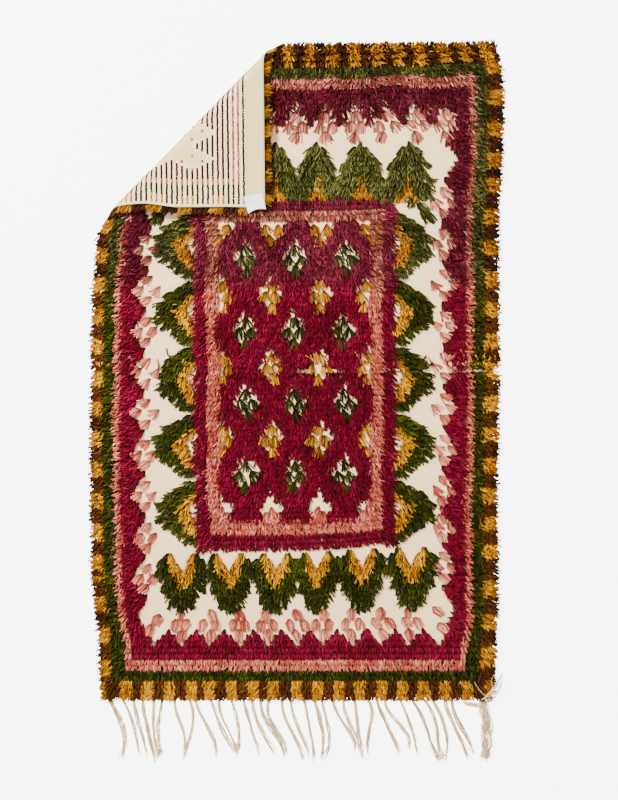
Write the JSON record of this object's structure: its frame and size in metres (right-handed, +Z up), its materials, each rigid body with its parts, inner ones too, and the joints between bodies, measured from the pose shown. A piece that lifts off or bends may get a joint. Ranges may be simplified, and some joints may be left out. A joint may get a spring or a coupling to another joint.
{
  "type": "rya rug",
  "caption": "Long-pile rya rug lying face up, one corner turned over to show its flat woven back, with a warp fringe at one end and a blank sewn label.",
  "frame": {"origin": "middle of the woven ground on its underside, at floor level", "axes": "+Z up from the floor; +Y along the rug's length, away from the fringed end; +X across its width, away from the turned corner"},
  "size_m": [1.0341, 1.7991, 0.0432],
  "materials": {
    "rug": "long wool pile on a woven cotton ground",
    "fringe": "undyed cotton warp ends, loosely bunched",
    "label": "white satin tape, blank"
  },
  "bodies": {
    "root": {"rug": "rug", "fringe": "fringe", "label": "label"}
  },
  "joints": []
}
